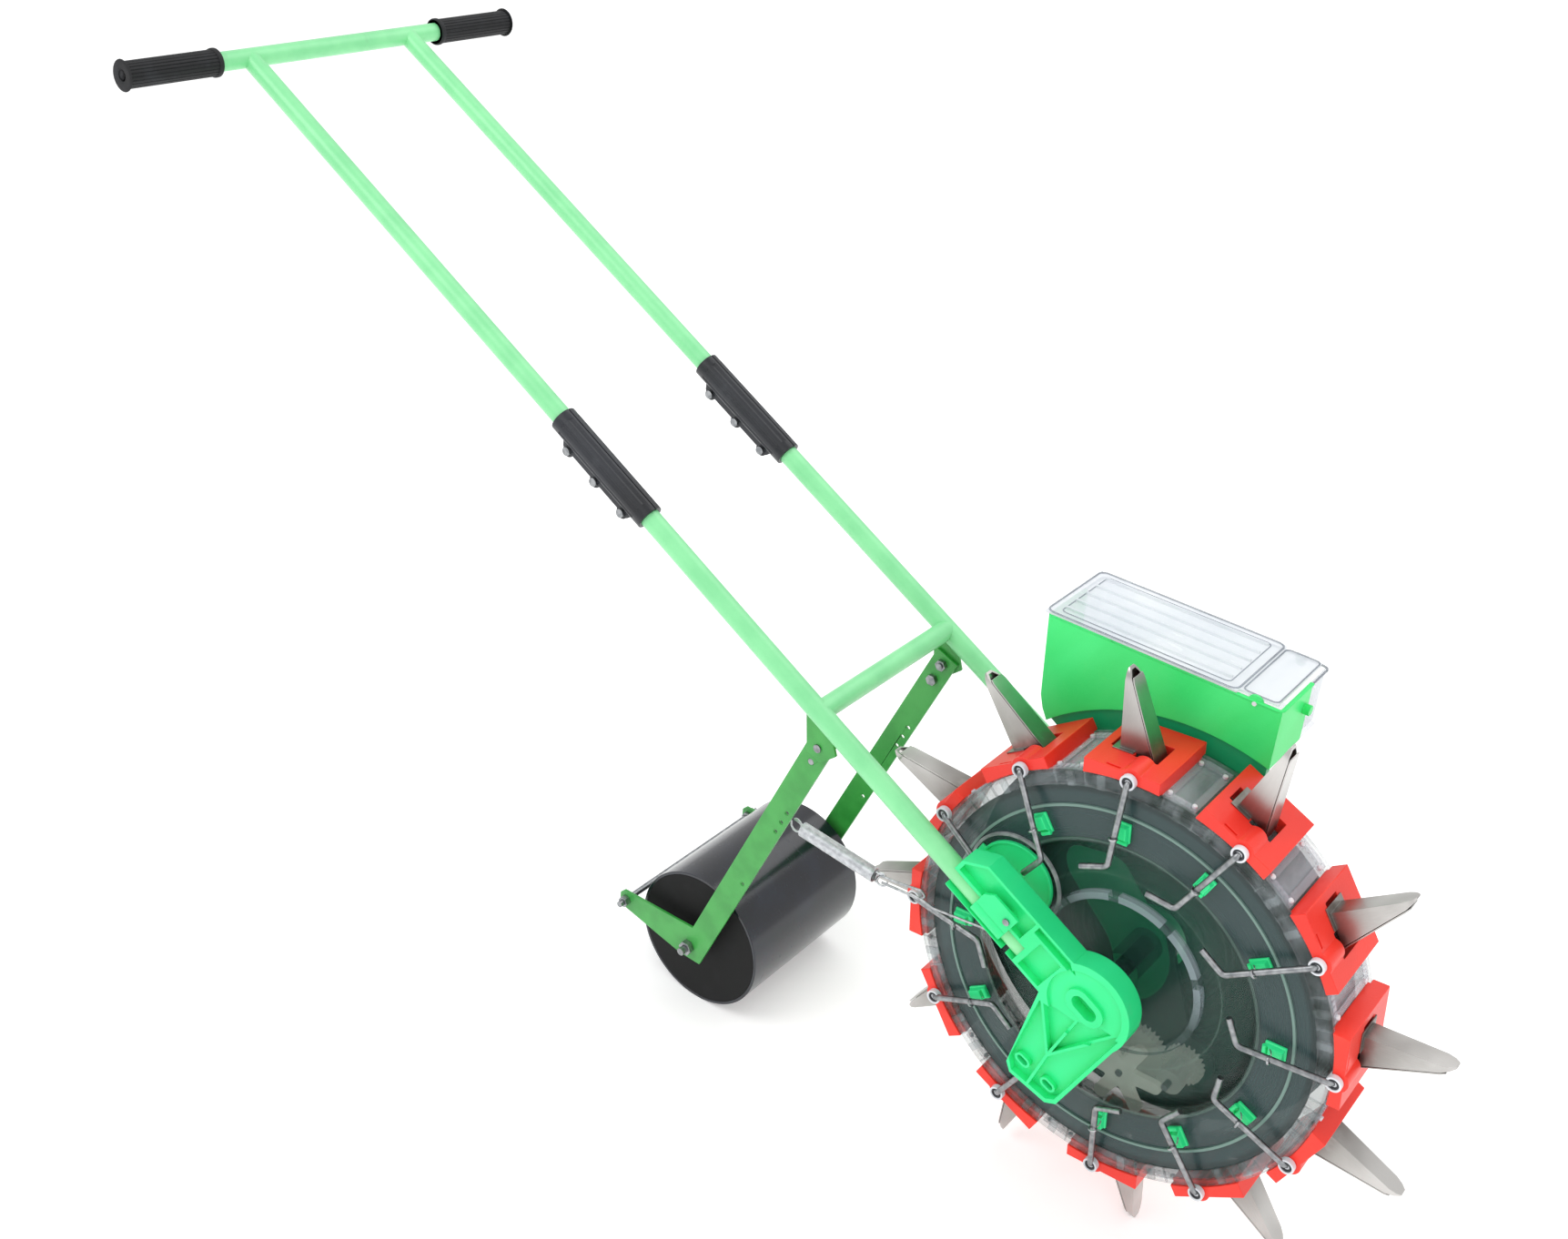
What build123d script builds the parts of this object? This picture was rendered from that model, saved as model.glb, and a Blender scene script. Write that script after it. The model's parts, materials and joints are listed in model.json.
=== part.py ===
"""Push seeder: a ground wheel ringed with opening seed beaks, a hopper beside it, a sprung press
roller behind it and a long two-tube handle. Millimetres, +X is the way it travels, +Y its left,
+Z up. The model is drawn about the wheel axle and moved at the end, so that the origin is the
middle of its footprint on the ground."""
import os
from math import atan2, cos, degrees, radians, sin

from build123d import *

# ---- driving dimensions ----
outlets = 12                # beaks round the wheel
tipRadius = 350.4           # wheel axle to beak tip, 18 cm between neighbouring seeds
pivotRadius = 250.0         # wheel axle to beak shaft
firstOutlet = 125.64        # direction of the first beak shaft, degrees up from +X
seatHalfWidth = 54.0        # half the width of an outlet seat across the wheel
frameMiddle = 33.0          # the frame's middle plane, off to the left of the wheel's
tubeSpacing = 264.0         # between the two handle tubes
tubeRadius = 12.5
tubeWall = 1.5
handleRise = 28.5           # handle tubes' slope, degrees
tubeDrop = 20.0             # handle tubes pass this far under the axle
handlebarReach = 1545.0     # along the tubes, from under the axle
sleeveReach = 808.0
sleeveLength = 165.0
crossbarReach = 423.0
tubeFoot = 85.0             # where the tubes end in the side arms
handlebarLength = 620.0
gripLength = 133.0
rollerCentre = (-542.0, -249.4)
rollerRadius = 94.0
rollerWidth = 218.0
armPivot = (-377.0, 138.0)  # roller arms' hinge bolt
armLean = 21.9              # roller arms' lean from upright, degrees
barWidth = 33.0
barThick = 4.0
shaftRadius = 5.0           # roller axle
axleRadius = 10.0           # wheel axle
rodRadius = 3.25            # crank rods
runningGap = 0.05           # radial clearance of a shaft in its bore

slope = radians(handleRise)
along = (-cos(slope), sin(slope))
across = (sin(slope), cos(slope))
rightTube = frameMiddle - tubeSpacing / 2
leftTube = frameMiddle + tubeSpacing / 2
parts = {}


def onFrame(reach, lift=0.0):
    """Point in the X-Z plane at a reach along the handle tubes and a lift off their axes."""
    drop = lift - tubeDrop
    return (reach * along[0] + drop * across[0], reach * along[1] + drop * across[1])


def at(point, y):
    return Vector(point[0], y, point[1])


def rod(start, end, radius, bore=0.0):
    start, end = Vector(start), Vector(end)
    length = (end - start).length
    shape = Cylinder(radius, length, align=(Align.CENTER, Align.CENTER, Align.MIN))
    if bore:
        shape -= Cylinder(bore, length, align=(Align.CENTER, Align.CENTER, Align.MIN))
    return Plane(origin=start, z_dir=end - start) * shape


def crossRod(point, yLow, yHigh, radius, bore=0.0):
    return rod(at(point, yLow), at(point, yHigh), radius, bore)


def plate(outline, yLow, yHigh):
    """A sketch drawn in X-Z, as a plate between two Y values."""
    return extrude(Plane.XZ.offset(-yHigh) * outline, amount=yHigh - yLow, dir=(0, -1, 0))


def outline(*points):
    return Polygon(*points, align=None)


def disc(point, radius):
    return Pos(point[0], point[1]) * Circle(radius)


def block(xs, ys, zs):
    size = (xs[1] - xs[0], ys[1] - ys[0], zs[1] - zs[0])
    middle = ((xs[0] + xs[1]) / 2, (ys[0] + ys[1]) / 2, (zs[0] + zs[1]) / 2)
    return Pos(*middle) * Box(*size)


def strip(start, end, half, yLow, yHigh):
    """A rib with round ends between two X-Z points."""
    length = ((end[0] - start[0]) ** 2 + (end[1] - start[1]) ** 2) ** 0.5
    turn = degrees(atan2(end[1] - start[1], end[0] - start[0]))
    middle = ((start[0] + end[0]) / 2, (start[1] + end[1]) / 2)
    return plate(Pos(*middle) * Rot(0, 0, turn) * SlotOverall(length + 2 * half, 2 * half), yLow, yHigh)


def hexagon(point, yLow, yHigh, flats):
    return plate(Pos(*point) * RegularPolygon(flats / 2, 6, major_radius=False), yLow, yHigh)


def mirrored(shape):
    """The left twin of a right-hand frame piece."""
    return Pos(0, 2 * frameMiddle, 0) * mirror(shape, Plane.XZ)


def outletAngle(number):
    return firstOutlet - number * 360 / outlets


def atOutlet(shape, number):
    return Rot(0, -outletAngle(number), 0) * shape


def bentRod(points, radius):
    """A round rod through points, with a ball in each bend."""
    shape = rod(points[0], points[1], radius)
    for start, end in zip(points[1:], points[2:]):
        shape += Pos(*start) * Sphere(radius)
        shape += rod(start, end, radius)
    return shape


# ---- handle ----
def buildHandle():
    bar = onFrame(handlebarReach)
    middle = onFrame(sleeveReach)
    halfBar = handlebarLength / 2
    barSolid = crossRod(bar, frameMiddle - halfBar, frameMiddle + halfBar, tubeRadius)
    parts["handlebar"] = crossRod(bar, frameMiddle - halfBar, frameMiddle + halfBar,
                                  tubeRadius, tubeRadius - tubeWall)
    crossPoint = onFrame(crossbarReach)
    crossbar = crossRod(crossPoint, rightTube, leftTube, tubeRadius, tubeRadius - tubeWall)
    foot = onFrame(tubeFoot)
    for side, y in (("right", rightTube), ("left", leftTube)):
        upper = rod(at(middle, y), at(bar, y), tubeRadius, tubeRadius - tubeWall)
        parts["upper_tube_" + side] = upper - barSolid
        lower = rod(at(foot, y), at(onFrame(sleeveReach - 1), y), tubeRadius, tubeRadius - tubeWall)
        parts["lower_tube_" + side] = lower
        crossbar -= rod(at(foot, y), at(middle, y), tubeRadius)
    parts["crossbar"] = max(crossbar.solids(), key=lambda solid: solid.volume)
    gripRadius, capLength = 17.0, 5.0
    grip = crossRod(bar, frameMiddle - halfBar - capLength,
                    frameMiddle - halfBar - capLength + gripLength, gripRadius)
    grip = fillet(grip.edges().filter_by(GeomType.CIRCLE), 4)
    parts["grip_right"] = grip - barSolid
    parts["grip_left"] = mirrored(grip) - mirrored(barSolid)


def buildSleeves():
    """Grooved clamp shells that join the upper and lower tubes, bolted through ears below."""
    shellRadius, earDepth, earHalf, split = 17.0, 24.0, 7.0, 0.5
    grooveRadius, grooveCentre, grooveEnd = 3.4, 18.8, 13.0
    start, end = sleeveReach - sleeveLength / 2, sleeveReach + sleeveLength / 2
    boltReaches = [sleeveReach - 51, sleeveReach, sleeveReach + 51]
    earLift = -23.0
    bolts = []
    for side, y in (("right", rightTube), ("left", leftTube)):
        body = rod(at(onFrame(start), y), at(onFrame(end), y), shellRadius)
        corners = [onFrame(start + 10, 0), onFrame(start + 22, -earDepth),
                   onFrame(end - 22, -earDepth), onFrame(end - 10, 0)]
        body += plate(outline(*corners), y - earHalf, y + earHalf)
        for reach in boltReaches:
            body += crossRod(onFrame(reach, earLift), y - earHalf, y + earHalf, 8.5)
        body -= rod(at(onFrame(start - 1), y), at(onFrame(end + 1), y), tubeRadius)
        for turn in (-110, -68, -26, 26, 68, 110):
            lift, aside = grooveCentre * cos(radians(turn)), grooveCentre * sin(radians(turn))
            body -= rod(at(onFrame(start + grooveEnd, lift), y + aside),
                        at(onFrame(end - grooveEnd, lift), y + aside), grooveRadius)
        for reach in boltReaches:
            body -= crossRod(onFrame(reach, earLift), y - 20, y + 20, 3.2)
        big = 2000.0
        outer = body & block((-big, big), (y - 60, y - split), (-big, big))
        inner = body & block((-big, big), (y + split, y + 60), (-big, big))
        parts["sleeve_outer_" + side] = outer
        parts["sleeve_inner_" + side] = inner
        for reach in boltReaches:
            point = onFrame(reach, earLift)
            bolt = crossRod(point, y - earHalf, y + earHalf + 7, 3.0)
            bolt += crossRod(point, y - earHalf - 4, y - earHalf, 5.5)
            nut = hexagon(point, y + earHalf, y + earHalf + 5, 10) - crossRod(point, y, y + 20, 3.0)
            bolts += [bolt, nut]
    parts["sleeve_bolts"] = Compound(children=bolts)


# ---- side arms ----
def buildSideArms():
    """Green plastic arms that carry the axle on the tubes, with the cam foot below."""
    front, back, floor = -113.0, -85.0, -104.0
    bossRadius = 53.0
    footNode = (-30, -84)
    beam = outline(onFrame(-5, -14), onFrame(190, -14), onFrame(196, -8), onFrame(196, 30),
                   onFrame(172, 53), onFrame(-5, 53))
    foot = outline((-53, -9), (-75, -122), (-69, -134), (-22, -147), (-9, -141), (53, -8))
    arm = plate(beam, front, back) + plate(foot, front, back)
    arm += plate(disc((0, 0), bossRadius), front, back)
    channelLow, channelHigh = -0.2 - tubeRadius, tubeRadius + 0.2
    channel = outline(onFrame(tubeFoot, channelLow), onFrame(210, channelLow),
                      onFrame(210, channelHigh), onFrame(tubeFoot, channelHigh))
    arm -= plate(channel, front, rightTube)
    arm -= rod(at(onFrame(tubeFoot), rightTube), at(onFrame(210), rightTube), tubeRadius)
    panels = [
        [onFrame(96, 17), onFrame(191, 17), onFrame(191, 29), onFrame(171, 49), onFrame(96, 49)],
        [onFrame(30, 39), onFrame(91, 39), onFrame(91, 49.5), onFrame(44, 49.5)],
        [onFrame(47, -10), onFrame(78, -10), onFrame(78, 35), onFrame(47, 35)],
        [(-50.5, -20), (-73, -115), (-67.5, -129.5), (-22, -141.2), (-12, -136), (44, -18),
         (22, -17), (-10, -25)],
    ]
    for panel in panels:
        arm -= plate(outline(*panel), front - 1, floor)
    for far in ((-48.8, -14), (-5, -20), (40, -14), (-46.6, -137)):
        arm += strip(footNode, far, 1.7, front, floor)
    hubRecess = plate(disc((0, 0), 44) - Rot(0, 0, -handleRise) * SlotOverall(48, 32), front - 1, front + 4)
    arm -= hubRecess
    for hole in ((-58, -112), (-24, -125)):
        arm += plate(Pos(*hole) * Rot(0, 0, -25) * SlotOverall(20, 13), front + 3, floor)
        arm -= plate(Pos(*hole) * Rot(0, 0, -25) * SlotOverall(14, 7), front - 1, back + 1)
    arm -= plate(Rot(0, 0, -handleRise) * SlotOverall(32, 17), front - 1, front + 14)
    collarRadius = 24.0
    arm += crossRod((0, 0), back, -78.0, collarRadius)
    arm -= crossRod((0, 0), -98.0, -77.0, axleRadius)
    notch = onFrame(98, -14)
    arm -= crossRod(notch, front - 1, back + 1, 3.0)
    screwPoint = onFrame(118, 22)
    arm += plate(disc(screwPoint, 7), front, back)
    coverRadius = 16.5
    arm -= rod(at(onFrame(109.8), rightTube), at(onFrame(155.2), rightTube), coverRadius + 0.2)
    arm -= crossRod(screwPoint, front - 1, -92.0, 2.0)
    parts["side_arm_right"] = arm
    parts["side_arm_left"] = mirrored(arm)
    tab = outline(onFrame(110, 8), onFrame(155, 8), onFrame(155, 24), onFrame(146, 35),
                  onFrame(110, 35))
    cover = rod(at(onFrame(110), rightTube), at(onFrame(155), rightTube),
                coverRadius, tubeRadius + 0.2)
    cover &= block((-400, 400), (-130, rightTube), (-400, 400))
    cover += plate(tab, front - 3.5, front)
    cover -= rod(at(onFrame(100), rightTube), at(onFrame(165), rightTube), tubeRadius + 0.2)
    cover -= crossRod(screwPoint, front - 6, front + 1, 2.3)
    screw = crossRod(screwPoint, front - 3.5, -93.0, 2.0)
    screw += crossRod(screwPoint, front - 5.5, front - 3.5, 4.0)
    parts["clamp_cover_right"] = cover
    parts["clamp_cover_left"] = mirrored(cover)
    parts["clamp_screws"] = screw + mirrored(screw)


# ---- axle and fixed seed housing ----
starCentre = (22.0, -135.5)
meterAngle = 16.0
starTeeth, meterTeeth, gearModule = 34, 22, 2.0
gearSpan = gearModule * (starTeeth + meterTeeth) / 2
meterCentre = (starCentre[0] + gearSpan * cos(radians(meterAngle)),
               starCentre[1] + gearSpan * sin(radians(meterAngle)))
pinRadius = 4.0
housingFace = 30.0


def buildAxle():
    parts["axle"] = crossRod((0, 0), -98.0, 2 * frameMiddle + 98.0, axleRadius)
    collar = crossRod((0, 0), -70.0, -54.0, 22.0, axleRadius)
    collar += crossRod((0, 0), -77.5, -70.0, 16.0, axleRadius)
    parts["axle_collars"] = collar + mirrored(crossRod((0, 0), -77.5, -54.0, 20.0, axleRadius))
    hub = disc((0, 0), 34) + disc(starCentre, 18) + disc(meterCentre, 30)
    hub += outline((-34, 0), (-12, -140), (30, -150), (85, -120), (34, 0))
    housing = plate(hub, housingFace, housingFace + 6)
    housing += plate(disc(meterCentre, 22), housingFace + 6, housingFace + 9)
    housing -= crossRod((0, 0), 0, 60, axleRadius)
    for point in (starCentre, meterCentre):
        housing -= crossRod(point, 0, 60, pinRadius)
    parts["seed_housing"] = housing
    pins = crossRod(starCentre, -29.5, housingFace + 10, pinRadius)
    pins += crossRod(meterCentre, -29.5, housingFace + 10, pinRadius)
    parts["gear_pins"] = pins


def gear(centre, teeth, yLow, yHigh, phase):
    """A spur gear with slim teeth, a tooth centred on the phase angle."""
    pitch = gearModule * teeth / 2
    root, top = pitch - 2.6, pitch + 1.5
    profile = Circle(root)
    for tooth in range(teeth):
        angle = phase + tooth * 360 / teeth
        profile += Rot(0, 0, angle) * outline((root - 1, -1.7), (root, -1.7), (top, -0.8),
                                              (top, 0.8), (root, 1.7), (root - 1, 1.7))
    return plate(Pos(*centre) * profile, yLow, yHigh)


def buildMetering():
    """Star wheel that the drive pegs nudge round, its gear and the geared seed roller."""
    lobeReach, lobeHalf, lobes = 42.0, 8.0, 6
    pegAngle = outletAngle(7) + 2.0
    starAngle = degrees(atan2(starCentre[1], starCentre[0]))
    gap = starAngle + 2 * (pegAngle - starAngle)
    star = Circle(20)
    for lobe in range(lobes):
        angle = gap + 30 + lobe * 360 / lobes
        arm = outline((0, -11), (26, -lobeHalf), (lobeReach, -lobeHalf), (lobeReach, lobeHalf),
                      (26, lobeHalf), (0, 11)) + disc((lobeReach, 0), lobeHalf)
        star += Rot(0, 0, angle) * arm
    bore = pinRadius + runningGap
    wheel = plate(Pos(*starCentre) * star, -27, -20) + crossRod(starCentre, -20, 14, 9)
    parts["star_wheel"] = wheel - crossRod(starCentre, -40, 40, bore)
    starGear = gear(starCentre, starTeeth, 14, 24, meterAngle)
    parts["star_gear"] = starGear - crossRod(starCentre, 0, 40, bore)
    half = 180 / meterTeeth
    meterGear = gear(meterCentre, meterTeeth, 14, 24, meterAngle + 180 + half)
    roller = crossRod(meterCentre, -18, 14, 15)
    for flute in range(8):
        angle = radians(flute * 45)
        point = (meterCentre[0] + 15 * cos(angle), meterCentre[1] + 15 * sin(angle))
        roller -= crossRod(point, -13, 9, 4)
    roller += meterGear
    parts["meter_roller"] = roller - crossRod(meterCentre, -40, 40, bore)


# ---- wheel ----
pegRadius, pegCircle = 5.0, 186.0


def buildDrum():
    rimRadius, rimHalf, faceRadius = 243.0, 50.0, 228.0
    stepRadius, webFace = 165.0, -33.0
    near = crossRod((0, 0), -50, -47, faceRadius, stepRadius - 3)
    near += crossRod((0, 0), -50, webFace + 3, stepRadius, stepRadius - 3)
    near += crossRod((0, 0), webFace, webFace + 3, stepRadius, 15)
    near += crossRod((0, 0), -52.5, housingFace - 1.5, 20, axleRadius)
    near += crossRod((0, 0), webFace - 6, webFace, 97, 89)
    near += crossRod((0, 0), -52, -50, 206, 203)
    near -= crossRod((0, 0), -60, 60, axleRadius + runningGap)
    parts["drum_near_disc"] = near
    far = crossRod((0, 0), 47, 50, faceRadius, 40) + crossRod((0, 0), 40, 47, 156, 150)
    parts["drum_far_disc"] = far
    rim = crossRod((0, 0), -rimHalf, rimHalf, rimRadius, rimRadius - 3)
    rim += crossRod((0, 0), -52, -47, rimRadius + 3, faceRadius)
    rim += crossRod((0, 0), 47, 52, rimRadius + 3, faceRadius)
    window = block((200, 260), (-12, 12), (16, 44))
    for number in range(outlets):
        rim -= atOutlet(window, number)
    parts["drum_rim"] = rim


def buildOutlets():
    seatTop, rimRadius, shaftEnd = 258.0, 243.0, 34.0
    seat = block((225, seatTop), (-seatHalfWidth, seatHalfWidth), (-33, 54))
    seat += crossRod((pivotRadius, 0), -seatHalfWidth, -15, 13)
    seat -= crossRod((0, 0), -60, 60, rimRadius)
    seat -= crossRod((0, 0), -60, -46, rimRadius + 3)
    seat -= crossRod((0, 0), 46, 60, rimRadius + 3)
    seat -= crossRod((pivotRadius, 0), -20, 20, 15)
    seat -= block((230, 300), (-20, 20), (0, 14.5))
    seat -= block((230, 300), (-13, 13), (10, 44))
    seat -= block((seatTop - 4, seatTop + 1), (-51, -48), (14, 30))
    seat -= crossRod((pivotRadius, 0), -80, shaftEnd + 1, rodRadius + runningGap)
    seat = max(seat.solids(), key=lambda solid: solid.volume)
    wall = 1.5
    baseHalf, tipHalf, tall = 14.0, 11.5, 60.0

    def span(inset):
        """Space between the jaws' cheeks, narrowing to a round tip, inset from their outsides."""
        edge = [(200, baseHalf + 1.5), (258, baseHalf), (335, tipHalf), (343, 9.0), (348, 5.0)]
        upper = [(u - inset * 1.5, y - inset) for u, y in edge]
        lower = [(u, -y) for u, y in reversed(upper)]
        shape = outline(*lower, *upper, (350.5 - inset * 2, 0))
        return Pos(0, 0, -tall) * extrude(Plane.XY * shape, amount=3 * tall, dir=(0, 0, 1))

    tipU, tipV = 348.6, 35.0
    fixedShape = plate(outline((seatTop, -3.2), (seatTop, 33.4), (tipU - 0.6, 36.6), (tipU, tipV),
                               (tipU - 1.8, 33.6), (336, 27.5)), -20, 20)
    fixedHollow = plate(outline((250, -30), (250, 33.1 - wall), (tipU - 3, 36.5 - wall),
                                (tipU - 3, 20), (300, -10)), -20, 20)
    fixed = (fixedShape & span(0)) - (fixedHollow & span(wall))
    fixed += (block((seatTop, seatTop + wall), (-19, 19), (16, 40))
              - block((250, 270), (-13, 13), (10, 31)))
    movingShape = plate(outline((248, -4), (248, -9), (250.7, -8.3), (336.7, 25.6), (340.5, 27.1),
                                (340, 28.5), (257.2, -4.1), (254, -4)), -20, 20)
    moving = movingShape & span(0)
    moving -= crossRod((pivotRadius, 0), -20, 20, 5.0)
    moving += crossRod((pivotRadius, 0), -17, 17, 6.0)
    kneeRadius, kneeLead, endRadius, endLead = 154.0, 2.5, 147.0, 14.5
    knee = (kneeRadius * cos(radians(kneeLead)), kneeRadius * sin(radians(kneeLead)))
    end = (endRadius * cos(radians(endLead)), endRadius * sin(radians(endLead)))
    crank = bentRod([at((pivotRadius, 0), shaftEnd), at((pivotRadius, 0), -60.0),
                     at(knee, -74.0), at(end, -75.0)], rodRadius)
    moving += crank
    clip = block((178, 194), (-58, -50), (-5, 12)) + block((174, 198), (-53, -50), (-8, 15))
    peg = crossRod((pegCircle * cos(radians(2)), pegCircle * sin(radians(2))), -47, -18, pegRadius)
    groups = {"outlet_seats": seat, "fixed_beaks": fixed, "crank_clips": clip, "drive_pegs": peg}
    for name, shape in groups.items():
        parts[name] = Compound(children=[atOutlet(shape, number) for number in range(outlets)])
    for number in range(outlets):
        parts["moving_beak_%02d" % (number + 1)] = atOutlet(moving, number)


# ---- hopper ----
hopperNear, hopperSplit, hopperFar = 60.0, 140.0, 184.0
hopperWall = 3.0
rimHeight = 326.0
lidHinge = (45.0, 323.0)


def buildHopper():
    bottomRadius = 266.0
    outer = outline((-200, rimHeight), (-193, 224), (-188, 208), (-181, 195), (0, 190), (76, 190),
                    (75, rimHeight)) - Circle(bottomRadius)
    inner = outline((-196.8, rimHeight + 9), (-190, 225), (-185, 210), (-179, 200), (0, 190),
                    (72, 190), (72, rimHeight + 9)) - Circle(bottomRadius + hopperWall)
    tub = plate(outer, hopperNear, hopperSplit)
    tub -= plate(inner, hopperNear + hopperWall, hopperSplit + 1)
    tub += plate(disc(lidHinge, 9), hopperNear, hopperNear + hopperWall)
    tub -= crossRod(lidHinge, hopperNear - 1, hopperNear + 5, 2.5)
    tub += rod((74, hopperSplit - 12, 300), (83, hopperSplit - 12, 300), 6)
    parts["hopper_tub"] = tub
    back = plate(outer, hopperSplit, hopperFar) - plate(inner, hopperSplit - 1, hopperFar - hopperWall)
    back += plate(disc(lidHinge, 9), hopperFar - hopperWall, hopperFar)
    back -= crossRod(lidHinge, hopperFar - 5, hopperFar + 1, 2.5)
    parts["hopper_back"] = back
    lidLow, lidThick = rimHeight + 1, 3.0
    wide = block((-204, 25), (hopperNear - 2.5, hopperFar + 2.5), (lidLow, lidLow + lidThick))
    narrow = block((25, 68), (hopperNear + 4, hopperFar - 4), (lidLow, lidLow + lidThick))
    lid = wide + narrow
    for number in range(5):
        rib = hopperNear + 16 + number * 23
        lid += block((-190, 10), (rib, rib + 4), (lidLow + lidThick, lidLow + lidThick + 3))
    for y in (hopperNear + 4, hopperFar - 7):
        ear = disc(lidHinge, 6) + outline((39, 323), (51, 323), (51, lidLow), (39, lidLow))
        lid += plate(ear, y, y + 3)
    parts["hopper_lid"] = lid - crossRod(lidHinge, 0, 300, 2.5 + runningGap)
    pin = crossRod(lidHinge, hopperNear - 2, hopperNear + 8, 2.5)
    pin += crossRod(lidHinge, hopperFar - 8, hopperFar + 2, 2.5)
    parts["lid_pins"] = pin
    neck = outline((-150, 216), (58, 255), (48, 150), (32, 10), (-32, 10), (-115, 120)) + Circle(34)
    neckPlate = plate(neck, 68, 74) + crossRod((0, 0), housingFace + 6, 68, 32)
    neckPlate += plate((outline((-178, 198), (-100, 150), (72, 200), (72, 300), (-178, 300))
                        & Circle(bottomRadius)) - Circle(238), 64, 74)
    parts["hopper_neck"] = neckPlate - crossRod((0, 0), 0, 100, axleRadius)


# ---- press roller ----
def buildRoller():
    lean = radians(armLean)
    down = (-sin(lean), -cos(lean))
    side = (cos(lean), -sin(lean))

    def onBar(drop, shift=0.0):
        return (armPivot[0] + drop * down[0] + shift * side[0],
                armPivot[1] + drop * down[1] + shift * side[1])

    half = barWidth / 2
    legLow, legHigh, legEnd, endLow, endHigh = -268.0, -218.0, -661.0, -249.0, -223.5
    rightDrop = (armPivot[1] - half * sin(lean) - legLow) / cos(lean)
    leftDrop = (armPivot[1] + half * sin(lean) - legHigh) / cos(lean)
    rightY = rightTube + tubeRadius - 9.5
    bar = outline(onBar(-14, half), onBar(rightDrop, half), (-556, legLow), (legEnd + 7, endLow),
                  (legEnd, endLow + 6), (legEnd, endHigh - 6), (legEnd + 6, endHigh),
                  onBar(leftDrop, -half), onBar(-14, -half))
    arm = plate(bar, rightY, rightY + barThick)
    rearPoint = (legEnd + 11, (endLow + endHigh) / 2)
    lockPoint = onBar(28)
    for point, radius in ((armPivot, 4 + runningGap), (rollerCentre, shaftRadius),
                          (rearPoint, 4.0), (lockPoint, 4.0)):
        arm -= crossRod(point, rightY - 1, rightY + 5, radius)
    for drop in (117, 135, 153, 262):
        arm -= crossRod(onBar(drop, 8.5), rightY - 1, rightY + 5, 2.8)
    parts["roller_arm_right"] = arm
    parts["roller_arm_left"] = mirrored(arm)
    tabY = rightY - 0.4
    tab = outline(onFrame(crossbarReach - 20, -2), onFrame(crossbarReach + 20, -2),
                  (-392, 128), (-372, 120), (-352, 138))
    tabPlate = plate(tab, tabY - 4, tabY) - rod(at(onFrame(300), rightTube), at(onFrame(600), rightTube),
                                               tubeRadius)
    tabPlate -= crossRod(armPivot, tabY - 5, tabY + 1, 4)
    tabPlate = max(tabPlate.solids(), key=lambda solid: solid.volume)
    parts["arm_tabs"] = Compound(children=[tabPlate, mirrored(tabPlate)])
    pivotBolt = crossRod(armPivot, tabY - 4, rightY + barThick + 8, 4)
    pivotBolt += crossRod(armPivot, tabY - 6, tabY - 4, 5)
    pivotBolt += hexagon(armPivot, rightY + barThick + 0.4, rightY + barThick + 6, 13)
    parts["pivot_bolts"] = Compound(children=[pivotBolt, mirrored(pivotBolt)])
    lockBolt = crossRod(lockPoint, rightY, rightY + barThick, 4)
    lockBolt += hexagon(lockPoint, rightY + barThick, rightY + barThick + 6, 13)
    farY = 2 * frameMiddle - rightY
    parts["roller_axle"] = crossRod(rollerCentre, rightY - 16, farY + 16, shaftRadius)
    parts["rear_rod"] = crossRod(rearPoint, rightY - 14, farY + 14, 4.0)
    nuts = [lockBolt, mirrored(lockBolt)]
    for point, bore, flats in ((rollerCentre, shaftRadius, 17), (rearPoint, 4.0, 13)):
        for low, high in ((rightY - 8, rightY), (rightY + barThick, rightY + barThick + 6)):
            nut = hexagon(point, low, high, flats) - crossRod(point, low - 1, high + 1, bore)
            nuts += [nut, mirrored(nut)]
    parts["roller_nuts"] = Compound(children=nuts)
    low, high = frameMiddle - rollerWidth / 2, frameMiddle + rollerWidth / 2
    wall, cap = 4.0, 5.0
    parts["roller_shell"] = crossRod(rollerCentre, low, high, rollerRadius, rollerRadius - wall)
    end = crossRod(rollerCentre, low, low + cap, rollerRadius - wall)
    end += crossRod(rollerCentre, low - 3, low + 30, 14)
    end -= crossRod(rollerCentre, low - 10, low + 40, shaftRadius + runningGap)
    parts["roller_ends"] = Compound(children=[end, mirrored(end)])
    springY = rightY + barThick + 9
    coilStart, coilEnd = (-396, 6), (-290, -3)
    spring = rod(at(coilStart, springY), at(coilEnd, springY), 9, 5)
    parts["tension_spring"] = spring
    hookEnd = onFrame(101, -17)
    hook = bentRod([at((-287, -3), springY), at((-240, 4), springY), at((-228, 10), springY),
                    at(hookEnd, -92)], 1.8)
    parts["spring_hook"] = hook


def moveToOrigin():
    boxes = [shape.bounding_box() for shape in parts.values()]
    lows = [min(getattr(box.min, key) for box in boxes) for key in "XYZ"]
    highs = [max(getattr(box.max, key) for box in boxes) for key in "XYZ"]
    shift = (-(lows[0] + highs[0]) / 2, -(lows[1] + highs[1]) / 2, -lows[2])
    print("shift", [round(value, 3) for value in shift])
    return shift


buildHandle()
buildSleeves()
buildSideArms()
buildAxle()
buildMetering()
buildDrum()
buildOutlets()
buildHopper()
buildRoller()
shift = moveToOrigin()
os.makedirs("parts", exist_ok=True)
for name, shape in parts.items():
    export_step(Pos(*shift) * shape, "parts/" + name + ".step")
print(len(parts), "nodes")
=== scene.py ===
import json
from math import cos, pi, radians, sin, tan
import bmesh
import bpy
from mathutils import Matrix, Vector


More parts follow.
